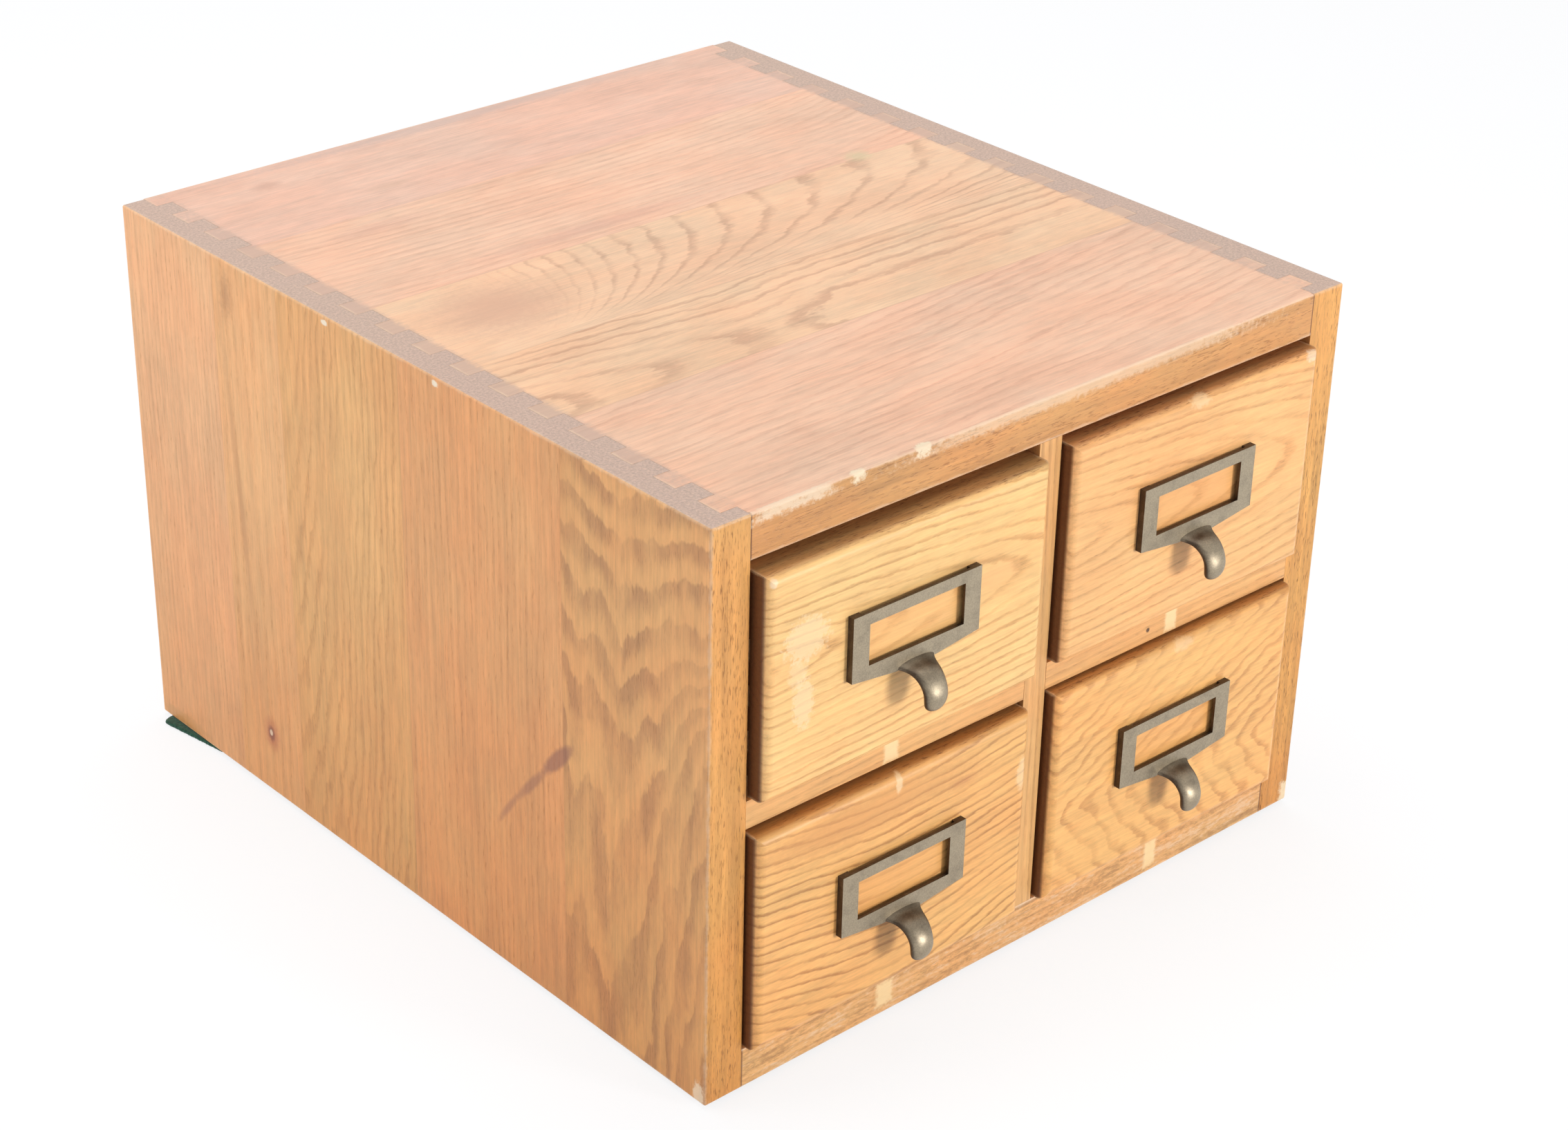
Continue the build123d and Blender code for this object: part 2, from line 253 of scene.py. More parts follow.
def lamp(name, size, watts, colour, place, towards):
    """A round lamp that is turned towards a point."""
    data = bpy.data.lights.new(name, "AREA")
    data.shape = "DISK"
    data.size = size
    data.energy = watts
    data.color = colour
    made = bpy.data.objects.new(name, data)
    turn = (Vector(place) - towards).to_track_quat("Z", "Y").to_matrix().to_4x4()
    made.matrix_world = Matrix.Translation(place) @ turn
    bpy.context.collection.objects.link(made)
    return made


middle = Vector((0, 0, 0.13))
lamp("key", 0.6, 24, (1.0, 0.985, 0.96), (0.7, -2.1, 0.42), middle)
lamp("overhead", 1.6, 21.5, (1.0, 0.98, 0.97), (0.1, 0.3, 2.2), middle)
wall = lamp("left wall", 1.5, 18, (1.0, 0.985, 0.96), (-1.9, 1.1, 0.8), middle)
wall.visible_glossy = False

world = bpy.data.worlds.new("studio")
bpy.context.scene.world = world
world.use_nodes = True
g = Graph(world.node_tree)
world.node_tree.nodes.clear()
fill = g.node("ShaderNodeBackground")
fill.inputs["Color"].default_value = (0.98, 0.99, 1.0, 1)
fill.inputs["Strength"].default_value = WORLD_FILL
white = g.node("ShaderNodeBackground")
white.inputs["Strength"].default_value = 1.0
straight = seen_rays(g, ("Is Camera Ray", "Is Transmission Ray", "Is Glossy Ray"))
mix_shaders(g, straight, fill, white, g.node("ShaderNodeOutputWorld"))


def floor_sheet():
    """A pale sheet of paper, most of whose white is its own."""
    half = FLOOR_HALF
    mesh = bpy.data.meshes.new("floor")
    mesh.from_pydata([(-half, -half, 0), (half, -half, 0), (half, half, 0), (-half, half, 0)], [],
                     [(0, 1, 2, 3)])
    made = bpy.data.objects.new("floor", mesh)
    bpy.context.collection.objects.link(made)
    material = bpy.data.materials.new("paper sweep")
    material.use_nodes = True
    shader = material.node_tree.nodes["Principled BSDF"]
    shader.inputs["Base Color"].default_value = (*PAPER, 1)
    shader.inputs["Roughness"].default_value = 0.9
    shader.inputs["Specular IOR Level"].default_value = 0.1
    g = Graph(material.node_tree)
    glow = g.node("ShaderNodeEmission")
    glow.inputs["Strength"].default_value = PAPER_GLOW
    shown = g.math("MULTIPLY", seen_rays(g, ("Is Camera Ray", "Is Glossy Ray")), PAPER_OWN_WHITE)
    mix_shaders(g, shown, shader, glow, material.node_tree.nodes["Material Output"])
    made.data.materials.append(material)


floor_sheet()
bpy.context.scene.view_settings.view_transform = "Standard"
print(len(bpy.data.lights), "lamps and a paper floor")

# %% [markdown]
# Oak shows its growth rings. A ring is a thin cone round the tree's heart, and a board is a slice
# through many cones: where the saw runs along the heart the rings are straight lines, and where
# it cuts across them at a low angle they close into tongues and arches. Stretched noise or a wave
# texture gives stripes but never such arches, so the rings are worked out as they grow: the
# distance from the heart, which itself leans away from the board's face.
# %% Growth rings
def make_growth_rings():
    """Counts rings: (sqrt(side^2 + deep^2) + wobble) / ring.

    side is the distance across the board from the heart, and deep the distance down to it, which
    changes by tilt and by bow along the board. Board is the place in mm: along the grain, across
    it and into the wood.
    """
    g, given, made = new_group(
        "growth rings", "Board:Vector Heart Deep Tilt Bow Ring Wobble Seed", "Rings")
    along, across, depth = g.split(given["Board"])
    place = g.seeded(given, (31.7, 17.3, 5.9))
    slow = g.sway(g.grains(place, 75, 24, 2), given["Wobble"])
    quick = g.sway(g.grains(place, 16, 5, 3), given["Wobble"])
    side = g.math("ADD", g.math("SUBTRACT", across, given["Heart"]), slow)
    deep = g.math("ADD", g.math("MULTIPLY_ADD", along, given["Tilt"], given["Deep"]), depth)
    curve = g.math("MULTIPLY", g.math("MULTIPLY", along, along), given["Bow"])
    deep = g.math("MULTIPLY_ADD", curve, 0.001, deep)
    radius = g.math("MULTIPLY_ADD", quick, 0.35, g.hypotenuse(side, deep))
    g.feed(made["Rings"], g.math("DIVIDE", radius, given["Ring"]))
    return g.tree


growth_rings = make_growth_rings()
print("growth rings have", len(growth_rings.nodes), "nodes")

# %% [markdown]
# Each ring of oak starts with a band of wide pores, which take up stain and dirt and look dark,
# and ends in dense pale wood. Cut along, a pore is a short dark dash, and cut across, a dot. So
# the colour is a band per ring with ragged edges, dashes that keep mostly to the bands, fine
# fibres and mottling, and slow blotches that lean to red or to yellow, as old varnish does. The
# same numbers give the height for a bump, because pores are open and a worn finish sinks in.
# %% Oak figure
def make_oak():
    """Colour and height from a count of rings: a soft dark band in each, pores and fibres."""
    g, given, made = new_group(
        "oak figure", "Board:Vector Rings Seed Pale:Color Dark:Color Contrast Breadth Pores",
        "Color:Color Height")
    place = g.seeded(given, (13.1, 47.9, 29.3))
    count = g.math("MULTIPLY_ADD", g.grains(place, 6, 1.7, 3), 0.3, given["Rings"])
    part = g.math("FRACT", count)
    fading = g.rise(part, g.math("MULTIPLY", given["Breadth"], 0.35), given["Breadth"], 1.0, 0.0)
    band = g.math("MULTIPLY", g.rise(part, 0.0, 0.13), fading)
    patchy = g.grains(place, 90, 15, 2)
    band = g.math("MULTIPLY", band, g.rise(patchy, 0.33, 0.6, 0.35, 1.0))
    dash = g.grains(place, 4.5, 0.5, 2)
    dash = g.math("MULTIPLY", g.rise(dash, 0.54, 0.68), g.math("MULTIPLY_ADD", band, 0.8, 0.2))
    dash = g.math("MULTIPLY", dash, given["Pores"])
    fibre = g.grains(place, 30, 0.9, 4, 0.62)
    mottle = g.grains(place, 13, 3.5, 4, 0.65)
    streak = g.grains(place, 85, 2.8, 3)
    tint = g.grains(place, 80, 30, 3, 0.6)
    lean = g.grains(place, 61, 33, 4, 0.6)
    colour = g.mix(g.math("MULTIPLY", band, given["Contrast"]), given["Pale"], given["Dark"])
    pore = g.mix(0.5, given["Dark"], (0.16, 0.06, 0.02))
    colour = g.mix(g.math("MULTIPLY", dash, 0.45), colour, pore)
    light = g.math("ADD", g.math("MULTIPLY_ADD", fibre, 0.42, 0.79),
                   g.math("MULTIPLY_ADD", tint, 0.36, -0.18))
    light = g.sway(mottle, 0.32, light)
    light = g.math("MULTIPLY_ADD", g.sway(streak, given["Pores"]), 0.38, light)
    colour = g.shade(colour, light)
    leaning = g.mix(g.rise(lean, 0.3, 0.7), (1.02, 0.965, 0.93), (0.98, 1.03, 1.04))
    colour = g.mix(1.0, colour, leaning, blend="MULTIPLY")
    g.feed(made["Color"], colour)
    height = g.math("ADD", g.math("MULTIPLY", dash, -1.0), g.math("MULTIPLY", band, -0.25))
    g.feed(made["Height"], g.math("MULTIPLY_ADD", fibre, 0.3, height))
    return g.tree


oak_figure = make_oak()
print("oak figure has", len(oak_figure.nodes), "nodes")

# %% [markdown]
# Wear is what makes wood look handled. Edges are rubbed pale where the finish has gone, and marks
# such as stains, scuffs, knots and a small hole painted dark as its shade sit at their own places.
# Both are masks from 0 to 1 that say where another colour shows. The edge mask measures how near a
# point is to two of the board's faces at once, and a mark is an ellipse or a rectangle with a
# ragged outline.
# %% Wear masks
def make_worn_edges():
    """A mask along a board's edges: the second smallest distance to its faces is below Width."""
    g, given, made = new_group(
        "worn edges", "Place:Vector Low:Vector High:Vector Width Ragged", "Mask")
    to_low = g.vector("SUBTRACT", given["Place"], given["Low"])
    to_high = g.vector("SUBTRACT", given["High"], given["Place"])
    x, y, z = g.split(g.vector("MINIMUM", to_low, to_high))
    second = g.math("MAXIMUM", g.math("MINIMUM", x, y),
                    g.math("MINIMUM", g.math("MAXIMUM", x, y), z))
    rough = g.noise(g.vector("SCALE", given["Place"], scale=0.11), detail=5, roughness=0.7)
    ragged = g.math("ADD", second, g.sway(rough, given["Ragged"]))
    g.feed(made["Mask"], g.rise(ragged, 0.0, given["Width"], 1.0, 0.0))
    return g.tree


def make_mark():
    """A mask of one mark: 1 where the distance from Centre, over Size and turned, is below 1.

    Square changes the ellipse's sqrt(x^2 + y^2) to a rectangle's larger of |x| and |y|.
    """
    g, given, made = new_group(
        "mark", "Board:Vector Centre:Vector Size:Vector Turn Soft Ragged Square", "Mask")
    turned = g.node("ShaderNodeVectorRotate", rotation_type="Z_AXIS")
    g.feed(turned.inputs["Vector"], g.vector("SUBTRACT", given["Board"], given["Centre"]))
    g.feed(turned.inputs["Angle"], given["Turn"])
    scaled = g.vector("DIVIDE", turned.outputs[0], given["Size"])
    x, y, z = g.split(g.vector("ABSOLUTE", scaled))
    largest = g.math("MAXIMUM", g.math("MAXIMUM", x, y), z)
    round_off = g.vector("LENGTH", scaled)
    far = g.math("ADD", round_off, g.math("MULTIPLY", given["Square"],
                                          g.math("SUBTRACT", largest, round_off)))
    rough = g.noise(g.vector("SCALE", given["Board"], scale=0.4), detail=4, roughness=0.65)
    far = g.sway(rough, given["Ragged"], far)
    g.feed(made["Mask"], g.rise(far, g.math("SUBTRACT", 1.0, given["Soft"]), 1.0, 1.0, 0.0))
    return g.tree


worn_edges = make_worn_edges()
mark = make_mark()
print("worn edges and mark have", len(worn_edges.nodes), "and", len(mark.nodes), "nodes")

# %% [markdown]
# Every board is its own slice of a tree, and the wide ones are glued up from narrow planks. A
# plank has its own numbers for the rings and its own two colours. Sums of steps pick them,
# because a node graph can't look things up in a list. Marks are written down in the same short
# way: where, how large, what colour and how strong. Colours are a paint card's, 0 to 255.
# %% Planks and marks
Plank = namedtuple("Plank", "until heart deep tilt bow ring wobble contrast pale dark breadth",
                   defaults=(0.6,))
Mark = namedtuple("Mark", "centre size turn soft ragged square colour share")
AXIS = {"x": 0, "y": 1, "z": 2}
SIGN = {"+": 1, "-": -1}
END = None                   # the last plank goes on to the board's edge
CHIP = (255, 240, 215)


def spot(along, across, half_long, half_wide, colour, share, turn=0.0, soft=0.5, ragged=0.6,
         square=0.0, depth=0.0, half_deep=6.0):
    """A mark on a board, in mm and degrees, that by default stays near its face."""
    return Mark((along, across, depth), (half_long, half_wide, half_deep), math.radians(-turn),
                soft, ragged, square, card(*colour), share)


def by_plank(g, beyond, values):
    """The first plank's number, plus a jump at each glue line that the place lies beyond."""
    total = values[0]
    for past, before, after in zip(beyond, values, values[1:]):
        total = g.math("MULTIPLY_ADD", past, after - before, total)
    return total


def colour_by_plank(g, beyond, colours):
    """The colour of the last plank that the place lies in or beyond."""
    chosen = card(*colours[0])
    for past, after in zip(beyond, colours[1:]):
        chosen = g.mix(past, chosen, card(*after))
    return chosen


def facing(g, normal, direction):
    """A mask of the faces that look in a direction such as -y."""
    part = g.math("MULTIPLY", normal[AXIS[direction[1]]], SIGN[direction[0]])
    return g.rise(part, 0.75, 0.97)


# %% [markdown]
# The planks' numbers go to the growth rings, and those to the oak figure. A board's narrow edges
# cut the rings square, so there they lose most of their contrast and pores show instead. Where the
# real rings are no slices of a cone, a function for that board changes them in between.
# %% Figure of a board
NEXT_PLANK_SEED = 1.7
RING_NUMBERS = ("heart", "deep", "tilt", "bow", "ring", "wobble")


def board_figure(g, board, picked, edge, planks, beyond, seed, pores, special):
    """The oak figure of a board's planks, where edge is 1 on its narrow sides and 0 on its face."""
    def number(key):
        return by_plank(g, beyond, [getattr(plank, key) for plank in planks])

    own_seed = by_plank(g, beyond, [seed + NEXT_PLANK_SEED * i for i in range(len(planks))])
    rings = g.place(growth_rings, Board=board, Seed=own_seed,
                    **{key.capitalize(): number(key) for key in RING_NUMBERS})["Rings"]
    contrast = number("contrast")
    if special:
        rings, contrast = special(g, picked, rings, contrast)
    return g.place(oak_figure, Board=board, Rings=rings, Seed=own_seed,
                   Contrast=g.math("MULTIPLY", contrast, g.rise(edge, 0.6, 0.9, 1.0, 0.2)),
                   Breadth=g.rise(edge, 0.6, 0.9, number("breadth"), 1.3),
                   Pores=g.rise(edge, 0.6, 0.9, pores, pores + 1.2),
                   Pale=colour_by_plank(g, beyond, [p.pale for p in planks]),
                   Dark=colour_by_plank(g, beyond, [p.dark for p in planks]))


# %% [markdown]
# The rest goes over the figure in the order in which it happened to the wood: stain on sawn or
# end grain, marks, and last the rubbed edges. Each is a function from a colour to a colour.
# %% What happened to the wood
POOLED_STAIN = (0.24, 0.1, 0.03)


def rough_from_saw(g, colour, board, pale):
    """Pale specks where the stain didn't take, and dark ones where it pooled."""
    fuzzy = g.sway(g.grains(board, 31, 7, 2), 0.7, g.grains(board, 5, 1.6, 5, 0.75))
    colour = g.mix(g.rise(fuzzy, 0.5, 0.7, 0.0, 0.75), colour, card(*pale))
    return g.mix(g.rise(fuzzy, 0.34, 0.5, 0.4, 0.0), colour, POOLED_STAIN)


def glue_lines(g, colour, across, planks):
    """A hair's breadth of each plank's dark colour where it meets the next."""
    for plank in planks[:-1]:
        near = g.math("ABSOLUTE", g.math("SUBTRACT", across, plank.until))
        colour = g.mix(g.rise(near, 0.1, 0.6, 0.3, 0.0), colour, card(*plank.dark))
    return colour


def end_grain(g, colour, board, turned, end_colour, share):
    """A colour with specks of cut pores, where turned is 1: the face looks along the grain."""
    grain = g.noise(g.vector("MULTIPLY", board, (0.2, 0.9, 0.9)), detail=5, roughness=0.7)
    speckled = g.shade(card(*end_colour), g.rise(grain, 0.35, 0.65, 0.8, 1.12))
    return g.mix(g.math("MULTIPLY", g.rise(turned, 0.8, 0.99), share), colour, speckled)


def marked(g, colour, board, marks):
    """Lays marks over a colour, the later ones on top."""
    for each in marks:
        mask = g.place(mark, Board=board, Centre=each.centre, Size=each.size, Turn=each.turn,
                       Soft=each.soft, Ragged=each.ragged, Square=each.square)["Mask"]
        colour = g.mix(g.math("MULTIPLY", mask, each.share), colour, each.colour)
    return colour


def rubbed_edges(g, colour, place, low, high, width, ragged, rubbed, share):
    """Lays a rubbed colour along the edges of the box from low to high, in metres."""
    mask = g.place(worn_edges, Place=place, Low=tuple(c / MM for c in low),
                   High=tuple(c / MM for c in high), Width=width, Ragged=ragged)["Mask"]
    return g.mix(g.math("MULTIPLY", mask, share), colour, card(*rubbed))


# %% [markdown]
# A board's material puts these together. It works with the place on the board in mm, from one of
# its corners: along the grain, across it and into the wood.
# %% Board material
def board_material(name, origin, axes, planks, marks=(), seed=0.0, pores=0.8, ends=None,
                   tints_and_painted_shade=(), worn=None, special=None, fade=None, rough_sawn=None, roughness=0.42):
    """Oak for one board, whose origin is a corner in metres and whose axes are such as +x -y -z.

    special changes the rings, fade changes the board's colour from one place along it to another,
    and rough_sawn speckles it with a colour. A tint by direction colours the faces that look that
    way; on the drawer fronts' tops it is painted shade.
    """
    material, g, shader, normal, place = new_material(name)
    normal = g.split(normal)
    axes = axes.split()
    parts = g.split(g.vector("SUBTRACT", place, tuple(c / MM for c in origin)))
    picked = [g.math("MULTIPLY", parts[AXIS[letter]], SIGN[sign]) for sign, letter in axes]
    board = g.join(*picked)
    turned, edge = (g.math("ABSOLUTE", normal[AXIS[axis[1]]]) for axis in axes[:2])
    beyond = [g.math("GREATER_THAN", picked[1], plank.until) for plank in planks[:-1]]
    figure = board_figure(g, board, picked, edge, planks, beyond, seed, pores, special)
    colour = figure["Color"]
    if fade:
        start, end, tint = fade
        colour = g.mix(g.rise(picked[0], start, end, 1.0, 0.0), colour, tint, blend="MULTIPLY")
    if rough_sawn:
        colour = rough_from_saw(g, colour, board, rough_sawn)
    colour = glue_lines(g, colour, picked[1], planks)
    for direction, tint, share in tints_and_painted_shade:
        shown = g.math("MULTIPLY", facing(g, normal, direction), share)
        colour = g.mix(shown, colour, tint, blend="MULTIPLY")
    if ends:
        colour = end_grain(g, colour, board, turned, *ends)
    colour = marked(g, colour, board, marks)
    if worn:
        colour = rubbed_edges(g, colour, place, *worn)
    g.feed(shader.inputs["Base Color"], colour)
    g.feed(shader.inputs["Roughness"], g.math("MULTIPLY_ADD", figure["Height"], -0.12, roughness))
    add_bump(g, shader, figure["Height"], 0.35, 0.25)
    print(name, "has", len(material.node_tree.nodes), "nodes")
    return material


def dress(node, material):
    """Gives a solid of the frame its material, and leaves its mesh alone."""
    mesh = bpy.data.objects[node].data
    mesh.materials.clear()
    mesh.materials.append(material)


# %% [markdown]
# The left side is five planks on end. Their grain is upright, so a place on it is height, then
# distance from the back, then depth. From the back: salmon and straight, golden and plain with a
# knot, olive with half an arch at its edge, reddish, and last a plank whose rings come down in
# sharp tongues. Those are no slices of a cone, so that plank has a formula of its own. A scuffed
# purple streak crosses the last glue line.
# %% Left side
TONGUES_FROM = 311.6
TONGUES_BEND = 143           # mm up, above which the rings come ever faster
TONGUES_DEEP = 65.9          # mm
TONGUES_RING = 3.9           # mm


def tongue_rings(g, place, rings, contrast):
    """Rings in tongues: (0.77 sqrt(|side|) + steep + deep - bump) / ring, past the last glue line.

    side is the distance from the middle of the tongues. deep falls by 0.059 per mm of height as
    far up as the bend, and above it with 0.00048 height^2. steep is 0.3 per mm more than 22 mm in
    front of the middle, and the bump, 27 mm behind it, gives the lower tongues a second tip.
    """
    board = g.join(*place)
    quick = g.noise(g.vector("MULTIPLY", board, (1 / 26, 1 / 9, 1 / 4)), detail=3)
    slow = g.noise(g.vector("MULTIPLY", board, (1 / 48, 1 / 19, 1 / 9)), detail=2)
    side = g.math("SUBTRACT", place[1], g.rise(place[0], 70, 150, 340.5, 348.3))
    side = g.sway(quick, 12, side)
    high = g.math("MAXIMUM", place[0], TONGUES_BEND)
    low = g.math("MINIMUM", place[0], TONGUES_BEND)
    deep = g.math("MULTIPLY_ADD", g.math("MULTIPLY", high, high), -0.000483, TONGUES_DEEP)
    deep = g.math("MULTIPLY_ADD", low, -0.059, g.math("MULTIPLY_ADD", slow, 5, deep))
    deep = g.math("ADD", deep, place[2])
    steep = g.math("MULTIPLY", g.math("MAXIMUM", g.math("SUBTRACT", side, 22), 0),
                   g.rise(place[0], 165, 215, 0.3, 0.0))
    bump = g.rise(g.math("ABSOLUTE", g.math("ADD", side, 27)), 0, 11, 1.0, 0.0)
    bump = g.math("MULTIPLY", bump, g.rise(place[0], 190, 228, 1.6, 0.0))
    tongues = g.math("MULTIPLY_ADD", g.math("SQRT", g.math("ABSOLUTE", side)), 0.77, deep)
    tongues = g.math("SUBTRACT", g.math("ADD", tongues, steep), bump)
    own = g.math("SUBTRACT", g.math("DIVIDE", tongues, TONGUES_RING), rings)
    inside = g.math("GREATER_THAN", place[1], TONGUES_FROM)
    return g.math("MULTIPLY_ADD", inside, own, rings), contrast


side_origin = (case_left, case_back, case_base)
PALE_EDGE = (250, 222, 190)
left_planks = [
    Plank(70.8, -150, 30, 0.05, 0, 3.3, 7, 0.2, (244, 184, 132), (216, 150, 102)),
    Plank(120.2, -260, 30, 0.1, 0, 7, 9, 0.2, (242, 183, 124), (218, 152, 96)),
    Plank(206.6, 116, 50, -0.15, 0, 4.4, 13, 0.4, (237, 179, 114), (200, 142, 86)),
    Plank(TONGUES_FROM, -100, 30, 0.04, 0, 4.2, 8, 0.2, (236, 170, 110), (204, 136, 82)),
    Plank(END, 347.4, 60, 0, 0, TONGUES_RING, 3, 0.67, (237, 175, 110), (188, 132, 86), 0.85),
]
left_marks = [
    spot(152, 82, 108, 3.4, (196, 136, 84), 0.5, turn=-4.1, soft=0.8, ragged=0.5),
    spot(244, 81, 16, 6.5, (178, 124, 80), 0.5, soft=0.9, ragged=0.9),
    spot(31.5, 96, 12, 8.5, (184, 98, 54), 0.7, soft=0.85, ragged=0.4),
    spot(31.5, 95.5, 5.2, 3.6, (126, 62, 40), 0.75, soft=0.6, ragged=0.4),
    spot(32, 95.2, 2.0, 1.5, (236, 208, 176), 0.85, soft=0.5),
    spot(119, 308, 17, 4.4, (146, 90, 72), 0.7, turn=43, soft=0.5, ragged=0.35),
    spot(99, 290.5, 21, 3.2, (150, 94, 72), 0.55, turn=41, soft=0.7, ragged=0.3),
    spot(80, 274.5, 17, 2.6, (156, 100, 74), 0.5, turn=36, soft=0.8, ragged=0.3),
    spot(257.5, 156, 1.6, 3.2, CHIP, 0.95, ragged=0.9),
    spot(257.5, 232.6, 1.8, 2.6, CHIP, 0.95, ragged=0.9),
    spot(4, 20, 4, 26, (205, 150, 90), 0.5, ragged=1.2),
    spot(3, 396, 8, 4, (250, 224, 190), 0.8, ragged=1.2, soft=0.4),
]
side_look = dict(ends=((208, 182, 168), 0.9), tints_and_painted_shade=[("-y", (0.93, 0.9, 0.7), 1.0)],
                 fade=(-20, 230, (0.87, 0.77, 0.6)))
INWARDS = Vector((0.1, 0, 0))    # metres, to keep the inner edges, which are joints, out of wear
left_low, left_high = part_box("left_side")
dress("left_side", board_material(
    "left side oak", side_origin, "+z -y +x", left_planks, left_marks, seed=3.0,
    special=tongue_rings, worn=(left_low, left_high + INWARDS, 1.5, 3.4, PALE_EDGE, 0.35),
    **side_look))

# %% [markdown]
# The right side can't be seen in the photograph, so it gets planks of the same kind with other
# numbers. Its front edge does show, and is chipped pale at the foot.
# %% Right side
right_low, right_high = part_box("right_side")
right_origin = (right_high[0], case_back, case_base)
right_planks = [
    Plank(82.0, 40, 48, -0.12, 0, 4.4, 9, 0.5, (237, 179, 114), (194, 138, 84)),
    Plank(171.0, -180, 30, 0.06, 0, 4.0, 7, 0.22, (242, 183, 126), (214, 150, 98)),
    Plank(246.0, 300, 50, 0.03, 0.2, 5.2, 9, 0.4, (236, 177, 112), (196, 138, 84)),
    Plank(330.0, -120, 30, 0.05, 0, 3.6, 7, 0.2, (236, 171, 112), (204, 137, 84)),
    Plank(END, 372, 55, -0.1, -0.1, 4.8, 9, 0.6, (237, 176, 108), (186, 132, 80)),
]
right_marks = [
    spot(3, 400, 9, 5, (250, 228, 190), 0.85, ragged=1.1, square=1, soft=0.4),
    spot(210, 150, 60, 3, (200, 146, 98), 0.4, turn=3, soft=0.8),
    spot(70, 300, 5, 4, (160, 90, 55), 0.6, soft=0.8),
]
dress("right_side", board_material(
    "right side oak", right_origin, "+z -y -x", right_planks, right_marks, seed=21.0,
    worn=(right_low - INWARDS, right_high, 1.5, 3.4, PALE_EDGE, 0.35), **side_look))

# %% [markdown]
# The top is five planks too, laid from left to right. It has faded to a pinkish tan and shows the
# finest figure: in the middle plank the rings fan out beside a knot that the saw just missed, and
# in the next they meet in two rows of arrow heads. A straight cone makes neither, so both planks
# have formulas of their own.
# %% Top
SEAM = (96, 52, 26)
SEAMS_AT = (19.3, 336.3)     # mm from the case's left, where boards meet the sides
TOP_FAN = (162.0, 233.8)
TOP_ARROWS = (233.8, 295.5)


def flat_waves(g, place, along, across, detail):
    """Noise over a board's face alone, in waves so many mm long and wide."""
    x = g.math("MULTIPLY", place[0], 1 / along)
    y = g.math("MULTIPLY", place[1], 1 / across)
    return g.noise(g.join(x, y, 0.0), detail)


def fan_rings(g, place):
    """Rings beside a knot: ellipses of one height b whose length a grows, counted as 7 ln a.

    For a point x, y from their middle, a = x / sqrt(1 - (y / b)^2). The second number fades the
    rings out at the knot and where they would run too close together.
    """
    middle_along, middle_across, height = 38.7, 162.0, 74.0
    x = g.math("MAXIMUM", g.math("SUBTRACT", place[0], middle_along), 20.0)
    y = g.math("DIVIDE", g.math("SUBTRACT", place[1], middle_across), height)
    left_over = g.math("MAXIMUM", g.math("SUBTRACT", 1.0, g.math("MULTIPLY", y, y)), 0.01)
    fan = g.math("SUBTRACT", g.math("MULTIPLY", g.math("LOGARITHM", x, math.e), 7.0),
                 g.math("MULTIPLY", g.math("LOGARITHM", left_over, math.e), 3.5))
    fade = g.math("MULTIPLY", g.rise(place[0], 66, 112), g.rise(left_over, 0.08, 0.3, 0.25, 1.0))
    return fan, fade


def arrow_rings(g, place):
    """Rings of a heart that comes up to both ends: sqrt(side^2 + deep^2) / ring.

    deep is 44.9 mm where the heart is deepest and less by 0.11 mm per mm to each side, as far as
    a limit to the right, so that the rings close into arrow heads that point at each other.
    """
    deepest_at, limit, heart, ring = 137.0, 182.0, 285.0, 5.0
    away = g.math("ABSOLUTE", g.math("SUBTRACT", g.math("MINIMUM", place[0], limit), deepest_at))
    deep = g.math("MULTIPLY_ADD", away, -0.11, 44.9)
    side = g.math("SUBTRACT", place[1], heart)
    return g.math("DIVIDE", g.hypotenuse(side, deep), ring)


def top_figure(g, place, rings, contrast):
    """Gives the two planks their own rings, and leaves the others as they were."""
    def within(across):
        return g.math("MULTIPLY", g.math("GREATER_THAN", place[1], across[0]),
                      g.math("LESS_THAN", place[1], across[1]))

    waves = g.math("MULTIPLY", flat_waves(g, place, 16, 9, 3), 0.7)
    in_fan, in_arrows = within(TOP_FAN), within(TOP_ARROWS)
    fan, fade = fan_rings(g, place)
    for inside, own in ((in_fan, fan), (in_arrows, arrow_rings(g, place))):
        own = g.math("SUBTRACT", g.math("ADD", own, waves), rings)
        rings = g.math("MULTIPLY_ADD", inside, own, rings)
    fade = g.math("MULTIPLY_ADD", in_fan, g.math("SUBTRACT", fade, 1.0), 1.0)
    return rings, g.math("MULTIPLY", contrast, fade)


